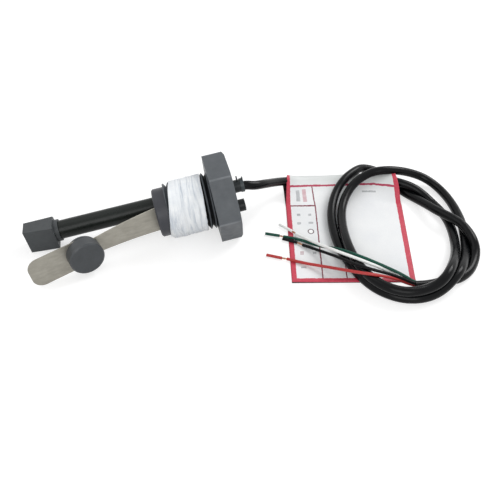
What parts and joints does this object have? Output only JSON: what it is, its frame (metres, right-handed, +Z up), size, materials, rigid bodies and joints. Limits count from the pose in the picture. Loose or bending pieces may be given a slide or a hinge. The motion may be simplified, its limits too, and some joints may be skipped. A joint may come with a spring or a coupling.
{
  "type": "paddle flow switch",
  "caption": "Paddle flow switch: threaded hexagon plug with a stem, a sprung magnet paddle and a loosely coiled cable with stripped wires and a folded tag.",
  "frame": {"origin": "middle of the switch's footprint on the table, without its cable", "axes": "+X along the plug towards the cable, +Y away from the paddle's side, +Z up"},
  "size_m": [0.1696, 0.0828, 0.0295],
  "materials": {
    "grey_pvc": "satin moulded",
    "white_tape": "soft matt film",
    "dark_pvc": "satin moulded",
    "board": "lacquered board",
    "reed_glass": "clear glass",
    "tinned_metal": "tinned",
    "potting": "cast resin",
    "black_nylon": "moulded",
    "washer_rubber": "rubber",
    "black_screw": "blackened",
    "stainless": "matt rolled",
    "capsule_plastic": "satin moulded",
    "ferrite": "sintered",
    "cable_jacket": "half gloss",
    "copper": "bare strands",
    "tag_card": "coated card with a coral border",
    "red_core": "smooth",
    "black_core": "smooth",
    "white_core": "smooth",
    "green_core": "smooth"
  },
  "bodies": {
    "switch": {"plug_body": "grey_pvc", "thread_tape": "white_tape", "stem_tube": "dark_pvc", "stop_block": "dark_pvc", "reed_board": "board", "reed_switch": "reed_glass", "reed_leads": "tinned_metal", "inner_cores": "black_core", "potting_seal": "potting", "gland_body": "black_nylon", "gland_cap": "black_nylon", "screw_washer": "washer_rubber", "filler_screw": "black_screw", "spring_leaf": "stainless", "cable_lead": "cable_jacket", "cable_coil": "cable_jacket", "cable_tag": "tag_card", "wire_red": "red_core", "strands_red": "copper", "slug_red": "red_core", "wire_black": "black_core", "strands_black": "copper", "slug_black": "black_core", "wire_white": "white_core", "strands_white": "copper", "slug_white": "white_core", "wire_green": "green_core", "strands_green": "copper", "slug_green": "green_core"},
    "blade": {"paddle": "stainless", "magnet_cup": "capsule_plastic", "magnet": "ferrite", "capsule_back": "capsule_plastic", "capsule_pins": "capsule_plastic"}
  },
  "joints": [
    {"name": "paddle_swing", "type": "hinge", "parent": "switch", "child": "blade", "pos_m": [-0.00006, -0.00436, 0.01066], "axis": [0.1361, 0, -0.9907], "range_deg": [0, 27], "stiffness_Nm_per_rad": 0.02, "deforming": ["spring_leaf"]}
  ]
}
